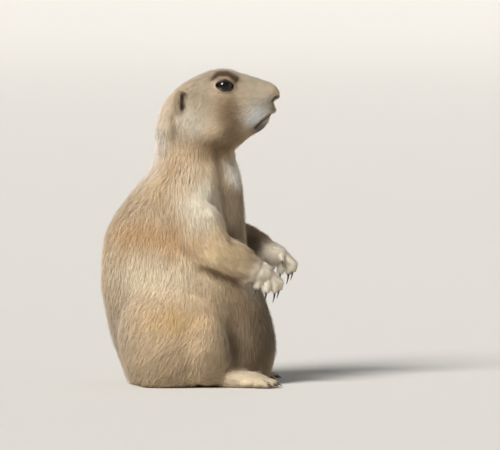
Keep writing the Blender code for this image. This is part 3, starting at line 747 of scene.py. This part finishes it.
# The coat
def lie_of(points, normals):
    """The way the coat lies at points, along the skin."""
    nose_front = EYE_LINE + HEAD_AXIS * 44 - UP * 6
    from_nose = points - nose_front
    reach = np.linalg.norm(from_nose, axis=1, keepdims=True)
    face_flow = unit(from_nose / reach - HEAD_AXIS * 0.5)
    down = np.tile(np.array([-0.10, 0.0, -1.0]), (len(points), 1))
    down[:, 0] -= 0.5 * smoothstep(80, 25, points[:, 2]) * smoothstep(40, -20, points[:, 0])
    head = head_share(points)[:, None] * smoothstep(78, 44, reach)
    flow = face_flow * head + down * (1 - head)
    for word, side in SIDES:
        chain = (SHOULDERS[word], ELBOWS[word], WRISTS[word], FINGERTIPS[word])
        for i, (start, end) in enumerate(zip(chain, chain[1:])):
            distance, along = segment_distance(points, start, end)
            share = smoothstep(24 - 4 * i, 12 - 2 * i, distance) * (points[:, 1] * side > 2)
            if i == 0:
                share = share * smoothstep(0.1, 0.7, along)
            flow += (unit(end - start) - flow) * share[:, None]
        low, high = box_mm(f"{word}_foot")
        foot = (points[:, 2] < 15) & (points[:, 0] > 0) & (points[:, 1] > low[1]) & (points[:, 1] < high[1])
        flow[foot] = (1.0, 0, -0.1)
    for start, end in zip(TAIL_RUN, TAIL_RUN[1:]):
        share = smoothstep(16, 9, segment_distance(points, start, end)[0]) * (points[:, 2] < 20)
        flow += (unit(end - start) - flow) * share[:, None]
    ruffle = wander(points, 26, 6)[:, None] * np.cross(normals, flow) * 0.18
    flow = flow + ruffle
    return unit(flow - normals * np.sum(flow * normals, axis=1, keepdims=True))


def coat_density(points):
    """How close the tufts stand, against the back's: none on lids, lips or nostrils, few in the ears."""
    density = 1 + 0.9 * head_share(points) + 2.0 * muzzle_share(points) + 1.6 * paw_share(points)
    density += 2.4 * eye_share(points) + 1.6 * ear_share(points)
    for word, side in SIDES:
        density[lid_reach(points, word, side) < 1.22] = 0
        density *= 1 - 0.9 * ear_slit(points, word, side, 0.3)
    density[mouth_distance(points) < 0.7] = 0
    density[nostril_distance(points) < 1.5] = 0
    density[points[:, 2] < 1.0] *= 0.1
    return density


def scatter(skin, count, rng):
    """Roots spread over the skin: places, normals and places on the unwrap."""
    mesh = skin.data
    mesh.calc_loop_triangles()
    corners, loops = (values_of(mesh.loop_triangles, field, 3, np.int64) for field in ("vertices", "loops"))
    uv = values_of(mesh.uv_layers["OFBake"].data, "uv", 2)[loops]
    places, normals = verts_of(mesh)[corners], normals_of(mesh)[corners]
    area = np.linalg.norm(np.cross(places[:, 1] - places[:, 0], places[:, 2] - places[:, 0]), axis=1)
    weight = area * coat_density(places.mean(axis=1))
    chosen = rng.choice(len(places), size=count, p=weight / weight.sum())
    u, v = rng.random(count), rng.random(count)
    over = u + v > 1
    u[over], v[over] = 1 - u[over], 1 - v[over]
    shares = np.stack([1 - u - v, u, v], axis=1)[:, :, None]
    return tuple((shares * values[chosen]).sum(axis=1) for values in (places, normals, uv))


def clumped(roots, tips, rng):
    """Draws the tips of neighbouring tufts together, so that the coat breaks into locks."""
    centres = rng.choice(len(roots), size=len(roots) // CLUMP_OF, replace=False)
    tree = kdtree.KDTree(len(centres))
    for i, j in enumerate(centres):
        tree.insert(roots[j], i)
    tree.balance()
    nearest = np.array([centres[tree.find(root)[1]] for root in roots])
    hold = CLUMP_HOLD * rng.uniform(0.2, 1.0, (len(roots), 1))
    return tips + (tips[nearest] - roots[nearest] + roots[nearest] - tips) * hold


def heading_at(lie, normals, lift):
    """A heading along the coat's lie, lifted off the skin by an angle."""
    return lie * np.cos(lift)[:, None] + normals * np.sin(lift)[:, None]


RING_TURNS = [angle + math.pi / 2 for angle in turns_of(3)]


def ring_round(centres, across, normals, width):
    """Three points round each centre, for the cross-section of a tuft a little flatter than it is wide."""
    half = width[:, None] / 2
    return [centres + (across * math.cos(a) + normals * math.sin(a) * 0.6) * half for a in RING_TURNS]


def ring_facings(across, normals):
    """How three points round a tuft are shaded: mostly as the skin there, so that the coat looks soft."""
    return [unit(normals + (across * math.cos(a) + normals * math.sin(a)) * SIDE_LIGHT) for a in RING_TURNS]


def coat_roots(skin, count, rng):
    """Where tufts stand: roots, normals, places on the unwrap, lie and the direction across it."""
    roots, normals, spots = scatter(skin, count, rng)
    normals = unit(normals)
    lie = lie_of(roots, normals)
    lie = unit(lie + np.cross(normals, lie) * rng.normal(0, 0.14, (count, 1)))
    return roots, normals, spots, lie, np.cross(normals, lie)


def tufts(skin, kind, count, rng):
    """Three-sided spikes: fine ones with one ring and a tip, long ones bent at a second ring."""
    roots, normals, spots, lie, across = coat_roots(skin, count, rng)
    length = by_region(roots, LENGTH) * rng.uniform(*kind["spread"], count)
    lift = np.radians(by_region(roots, LIFT)) * rng.normal(1, 0.2, count)
    if kind is LONG:
        lift *= np.where(rng.random(count) < STRAY_SHARE, STRAY_LIFT, 1)
        middle = roots + heading_at(lie, normals, ROOT_LIFT * lift) * (length * BEND_AT)[:, None]
        tips = middle + heading_at(lie, normals, TIP_LIFT * lift) * (length * (1 - BEND_AT))[:, None]
    else:
        tips = roots + heading_at(lie, normals, lift) * length[:, None]
    tips = clumped(roots, tips, rng)
    base, growth, *limits = kind["width"]
    width = np.clip(base + growth * length, *limits) * rng.uniform(0.8, 1.2, count)
    rings = ring_round(roots - normals * ROOT_SUNK, across, normals, width)
    facings = ring_facings(across, normals)
    if kind is LONG:
        rings += ring_round(middle, across, normals, width * 0.85)
        facings *= 2
    facings.append(unit(normals + lie * SIDE_LIGHT))
    return roots, np.stack([*rings, tips], axis=1), np.stack(facings, axis=1), spots


FINE_FACES = np.array([(0, 1, 3), (1, 2, 3), (2, 0, 3), (0, 2, 1)])
LONG_FACES = np.array([
    (0, 1, 4), (0, 4, 3), (1, 2, 5), (1, 5, 4), (2, 0, 3), (2, 3, 5),
    (3, 4, 6), (4, 5, 6), (5, 3, 6), (0, 2, 1),
])


def tuft_colours(roots, rows, rng):
    """Colours from root to tip: a little darker at the root, paler or, on a few, dark at the tip."""
    count = len(roots)
    tone = rng.normal(1, 0.10, (count, 1)) + 0.06 * rng.normal(size=(count, 1)) * head_share(roots)[:, None]
    warm = rng.normal(0, 0.03, (count, 1)) * np.array([1.0, 0.2, -0.8])
    base = painted(roots) * (tone + warm)
    dark = rng.random((count, 1)) < 0.08
    tip = base * np.where(dark, 0.6, 1.07)
    shades = [base * 0.93] * 3 + [base] * (3 if rows > 4 else 0) + [tip]
    return np.clip(np.stack(shades, axis=1), 0.01, 0.95)


def coat_pieces(name, spikes, faces, a_piece, rng):
    """Pieces of joined tufts, each with its colours and its places on the skin's unwrap."""
    roots, shapes, facings, spots = spikes
    shapes[:, :, 2] = np.maximum(shapes[:, :, 2], FLOOR_CLEARANCE)
    rows = shapes.shape[1]
    colours = tuft_colours(roots, rows, rng)
    turns = np.linspace(0, 2 * math.pi, rows, endpoint=False)
    patch = np.stack([np.cos(turns), np.sin(turns)], axis=1) * BAKE_PATCH / 2
    pieces = []
    for number, start in enumerate(range(0, len(roots), a_piece), 1):
        part = slice(start, min(start + a_piece, len(roots)))
        many = part.stop - part.start
        corners = (faces[None] + rows * np.arange(many)[:, None, None]).reshape(-1)
        mesh = bpy.data.meshes.new(f"{name}_{number}")
        mesh.vertices.add(many * rows)
        mesh.vertices.foreach_set("co", (shapes[part] * MM).ravel())
        mesh.loops.add(len(corners))
        mesh.loops.foreach_set("vertex_index", corners)
        mesh.polygons.add(len(corners) // 3)
        mesh.polygons.foreach_set("loop_start", np.arange(0, len(corners), 3))
        mesh.update(calc_edges=True)
        colour_layer(mesh, colours[part].reshape(-1, 3))
        layer = mesh.uv_layers.new(name="OFBake")
        layer.data.foreach_set("uv", (spots[part, None] + patch[None]).reshape(-1, 2)[corners].ravel())
        mesh.shade_smooth()
        mesh.normals_split_custom_set_from_vertices(facings[part].reshape(-1, 3))
        pieces.append(new_object(mesh.name, mesh))
    return pieces


def make_coat(skin):
    """The whole coat, fine tufts and long ones."""
    rng = np.random.default_rng(SEED)
    share = 1.0
    pieces = []
    for name, kind, faces in (("coat", FINE, FINE_FACES), ("guard_coat", LONG, LONG_FACES)):
        spikes = tufts(skin, kind, int(kind["count"] * share), rng)
        pieces += coat_pieces(name, spikes, faces, kind["a_piece"], rng)
    look = fur_material()
    for piece in pieces:
        piece.data.materials.append(look)
    return pieces


# Eyes, lids, nose, whiskers and claws
def finished(form, name, look):
    """A smooth piece made from a bmesh, with its material."""
    piece = new_object(name, mesh_from(form, name))
    piece.data.shade_smooth()
    piece.data.materials.append(look)
    return piece


def make_eyes():
    """Both eyes, as glossy, nearly black brown balls that sit behind the lids."""
    look = grained_material("eye", 0.10, 260, *EYE_BROWNS, specular=0.35)
    pieces = []
    for word, _ in SIDES:
        form = bmesh.new()
        bmesh.ops.create_uvsphere(form, u_segments=48, v_segments=32, radius=(EYE_RADIUS + 0.1) * MM)
        form.transform(Matrix.Translation(Vector(EYES[word]) * MM))
        eye = finished(form, f"{word}_eyeball", look)
        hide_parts(f"{word}_eye")
        pieces.append(eye)
    return pieces


def swept_loop(form, centres, outwards, radius, sides=8):
    """Adds a closed ring of tube through centres, each with its outward direction, to a bmesh."""
    rings = []
    for i, centre in enumerate(centres):
        run = unit(centres[(i + 1) % len(centres)] - centres[i - 1])
        out = unit(outwards[i] - run * (outwards[i] @ run))
        up = np.cross(run, out)
        rings.append([
            form.verts.new(Vector(centre + (out * math.cos(a) + up * math.sin(a)) * radius[i]) * MM)
            for a in turns_of(sides)
        ])
    for near, far in zip(rings, rings[1:] + rings[:1]):
        join_rings(form, near, far)


def make_lids():
    """The dark bare rims of the lids, almond shaped, lying on the eyes."""
    form = bmesh.new()
    for word, side in SIDES:
        along, up, look = lid_frame(side)
        centres, outwards, radius = [], [], []
        for a in np.linspace(0, 2 * math.pi, 56, endpoint=False):
            corner = abs(math.cos(a)) ** 6
            reach = LID_HALF_LONG * math.cos(a) * (1 + 0.14 * corner)
            rise = LID_HALF_HIGH * math.sin(a) * (1 - 0.16 * abs(math.cos(a)) ** 3)
            rise -= 0.5 * corner * (math.cos(a) > 0)
            depth = math.sqrt(max((EYE_RADIUS + 0.4) ** 2 - reach**2 - rise**2, 0.8))
            place = along * reach + up * rise + look * depth
            centres.append(EYES[word] + place)
            outwards.append(unit(place))
            radius.append(0.5 + 0.15 * (math.sin(a) > 0))
        swept_loop(form, centres, outwards, radius)
    bmesh.ops.recalc_face_normals(form, faces=form.faces)
    piece = finished(form, "lids", bare_skin_material("lid_rim", LID_DARK, 0.35))
    return piece


def make_nose():
    """The small bare pad between the nostrils."""
    form = bmesh.new()
    bmesh.ops.create_icosphere(form, subdivisions=4, radius=1)
    for vertex in form.verts:
        x, y, z = vertex.co
        x *= 1 - 0.35 * math.exp(-(y / 0.25) ** 2) * (z < 0.2)
        z *= 1 - 0.3 * abs(y)
        place = HEAD_AXIS * (37.8 + 2.4 * x) + HEAD_SIDE * 3.3 * y + UP * (-7.6 + 2.1 * z)
        vertex.co = Vector(EYE_LINE + place) * MM
    piece = finished(form, "nose_pad", bare_skin_material("nose_leather", NOSE_BROWN, 0.45))
    return piece


def make_whiskers():
    """Fine dark whiskers from four rows on each whisker pad, and a few above the eye."""
    rng = np.random.default_rng(SEED + 1)
    form = bmesh.new()
    for _, side in SIDES:
        out = HEAD_SIDE * side
        for row in range(4):
            for place in range(4):
                ahead, aside, rise = 31.5 - 3.1 * place - 0.5 * row, 6.0 + 1.0 * place, -9.5 - 2.5 * row
                start = EYE_LINE + HEAD_AXIS * ahead + out * aside + UP * rise
                heading = unit(out * 0.75 - HEAD_AXIS * (0.35 + 0.1 * place) + UP * (0.12 - 0.22 * row))
                length = rng.uniform(11, 15) + 3.2 * place
                add_whisker(form, start, heading, length, 0.085)
        for k in range(2):
            start = EYE_LINE + HEAD_AXIS * (4 - 4 * k) + out * 14 + UP * 8
            add_whisker(form, start, unit(UP - HEAD_AXIS * 0.6 + out * 0.3), 10.0, 0.07)
    piece = finished(form, "whiskers", bare_skin_material("whisker", WHISKER_DARK, 0.5))
    return piece


def add_whisker(form, start, heading, length, radius):
    """Adds one tapered whisker that droops a little and bends back."""
    centres, radii = [], []
    for t in np.linspace(0, 1, 7):
        droop = (-UP * 0.14 - HEAD_AXIS * 0.16) * t * t
        centres.append(start + (heading * t + droop) * length)
        radii.append(radius * (1 - 0.85 * t))
    capsule_chain(form, centres, radii, sides=4)


def make_claws():
    """The claws of each paw, rounder than the solids, of dark horn with paler streaks."""
    look = grained_material("horn", 0.4, 420, *HORN_BROWNS, 0.0001, detail=3)
    pieces = []
    for word, _ in SIDES:
        for group in ("finger", "toe"):
            nodes = [f"{word}_{group}_claw_{i}" for i in range(1, 6)]
            form = bmesh.new()
            for node in nodes:
                form.from_mesh(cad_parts[node].data)
            bmesh.ops.remove_doubles(form, verts=form.verts, dist=1e-6)
            piece = finished(form, f"{word}_{group}_claws", look)
            rounder = piece.modifiers.new("rounder", "SUBSURF")
            rounder.levels = rounder.render_levels = 2
            settled(piece)
            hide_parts(*nodes)
            pieces.append(piece)
    return pieces


# Materials
def fresh_material(name, roughness, specular=0.5):
    made = bpy.data.materials.new(name)
    made.use_nodes = True
    shader = made.node_tree.nodes["Principled BSDF"]
    shader.inputs["Roughness"].default_value = roughness
    shader.inputs["Specular IOR Level"].default_value = specular
    return made, made.node_tree, shader


def noise_node(tree, scale, detail):
    node = tree.nodes.new("ShaderNodeTexNoise")
    node.inputs["Scale"].default_value = scale
    node.inputs["Detail"].default_value = detail
    place = tree.nodes.new("ShaderNodeTexCoord")
    tree.links.new(place.outputs["Object"], node.inputs["Vector"])
    return node


def ramp_between(tree, source, low, high):
    """Two colours mixed by a noise's height."""
    ramp = tree.nodes.new("ShaderNodeValToRGB")
    ramp.color_ramp.elements[0].position, ramp.color_ramp.elements[1].position = 0.35, 0.65
    ramp.color_ramp.elements[0].color = (*low, 1)
    ramp.color_ramp.elements[1].color = (*high, 1)
    tree.links.new(source.outputs["Fac"], ramp.inputs["Fac"])
    return ramp


def bump_from(tree, source, shader, distance):
    bump = tree.nodes.new("ShaderNodeBump")
    bump.inputs["Strength"].default_value = 0.5
    bump.inputs["Distance"].default_value = distance
    tree.links.new(source.outputs["Fac"], bump.inputs["Height"])
    tree.links.new(bump.outputs["Normal"], shader.inputs["Normal"])


def coat_paint(tree):
    """The output of the markings and painted shade on the mesh."""
    paint = tree.nodes.new("ShaderNodeVertexColor")
    paint.layer_name = "Coat"
    return paint.outputs["Color"]


def fur_material():
    """Dry hair, coloured by the markings and the painted shade."""
    made, tree, shader = fresh_material("fur", 0.75, 0.2)
    tree.links.new(coat_paint(tree), shader.inputs["Base Color"])
    shader.inputs["Sheen Weight"].default_value = 0.2
    shader.inputs["Sheen Roughness"].default_value = 0.5
    shader.inputs["Sheen Tint"].default_value = (1.0, 0.94, 0.84, 1)
    return made


def skin_material():
    """Underfur: the same markings and painted shade with a fine grain."""
    made, tree, shader = fresh_material("underfur", 0.85, 0.2)
    grain = noise_node(tree, 1500, 3)
    shade = ramp_between(tree, grain, (0.86, 0.85, 0.84), (1.0, 1.0, 1.0))
    mixed = tree.nodes.new("ShaderNodeMix")
    mixed.data_type, mixed.blend_type = "RGBA", "MULTIPLY"
    mixed.inputs[0].default_value = 1.0
    tree.links.new(coat_paint(tree), mixed.inputs[6])
    tree.links.new(shade.outputs["Color"], mixed.inputs[7])
    tree.links.new(mixed.outputs[2], shader.inputs["Base Color"])
    bump_from(tree, grain, shader, 0.0004)
    return made


def grained_material(name, roughness, scale, low, high, bump=0.0, detail=2, specular=0.5):
    """Two colours mixed by a fine noise, which also raises a bump."""
    made, tree, shader = fresh_material(name, roughness, specular)
    grain = noise_node(tree, scale, detail)
    shade = ramp_between(tree, grain, low, high)
    tree.links.new(shade.outputs["Color"], shader.inputs["Base Color"])
    if bump:
        bump_from(tree, grain, shader, bump)
    return made


def bare_skin_material(name, colour, roughness):
    """Bare skin, finely pebbled."""
    low, high = (tuple(value * share for value in colour) for share in (0.75, 1.25))
    return grained_material(name, roughness, 2200, low, high, 0.0002)


# Floor, camera and lights. The stage is in metres: the flat's radius, the bend's and the wall's height.
STAGE_FLAT, STAGE_BEND, STAGE_WALL = 18.0, 14.0, 16.0
STAGE_SIDES = 96
PAPER = (0.66, 0.645, 0.62)
KEY_ENERGY, KEY_ANGLE = 4.75, math.radians(26)
KEY_COLOUR = (1.0, 0.972, 0.93)
KEY_FROM = (-0.50, -0.68, 0.66)
SURROUND_COLOUR, SURROUND_STRENGTH = (0.88, 0.93, 1.0), 0.16


def make_stage():
    """A wide pale floor swept up all round into a wall."""
    profile = [(r, 0.0) for r in (0.6, 2.0, 6.0, STAGE_FLAT)]
    for a in np.linspace(0.12, math.pi / 2, 14):
        profile.append((STAGE_FLAT + STAGE_BEND * math.sin(a), STAGE_BEND * (1 - math.cos(a))))
    profile.append((STAGE_FLAT + STAGE_BEND, STAGE_WALL))
    form = bmesh.new()
    turns = turns_of(STAGE_SIDES)
    rows = [[form.verts.new((r * math.cos(a), r * math.sin(a), z)) for a in turns] for r, z in profile]
    form.faces.new(rows[0])
    for near, far in zip(rows, rows[1:]):
        join_rings(form, far, near)
    mesh = mesh_from(form, "floor")
    mesh.shade_smooth()
    made, _, shader = fresh_material("paper", 0.9, 0.2)
    shader.inputs["Base Color"].default_value = (*PAPER, 1)
    mesh.materials.append(made)
    new_object("floor", mesh)


def make_camera():
    """The photo's view: from the animal's right side, nearly level."""
    lens = bpy.data.cameras.new("camera")
    lens.sensor_width = SENSOR
    lens.lens = SENSOR * CAMERA_DISTANCE / (PHOTO_WIDTH * PIXEL)
    lens.clip_end = 80
    camera = new_object("camera", lens)
    away = Vector((0, -math.cos(CAMERA_RISE), math.sin(CAMERA_RISE)))
    middle = Vector((EYES["right"][0] + VIEW_AHEAD_OF_EYE, 0, VIEW_HEIGHT))
    camera.location = (middle + away * CAMERA_DISTANCE) * MM
    camera.rotation_euler = (-away).to_track_quat("-Z", "Y").to_euler()
    bpy.context.scene.camera = camera


def make_lights():
    """A soft high key from behind the animal's right shoulder, and an even pale surround."""
    lamp = bpy.data.lights.new("key", "SUN")
    lamp.energy, lamp.angle, lamp.color = KEY_ENERGY, KEY_ANGLE, KEY_COLOUR
    key = new_object("key", lamp)
    key.rotation_euler = Vector(KEY_FROM).to_track_quat("Z", "Y").to_euler()
    world = bpy.data.worlds.new("studio")
    world.use_nodes = True
    surround = world.node_tree.nodes["Background"]
    surround.inputs["Color"].default_value = (*SURROUND_COLOUR, 1)
    surround.inputs["Strength"].default_value = SURROUND_STRENGTH
    bpy.context.scene.world = world
    bpy.context.scene.view_settings.view_transform = "Standard"


skin = make_skin()
coat = make_coat(skin)
for piece in [skin, *coat, *make_eyes(), make_lids(), make_nose(), make_whiskers(), *make_claws()]:
    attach(piece, "root")
make_stage()
make_camera()
make_lights()
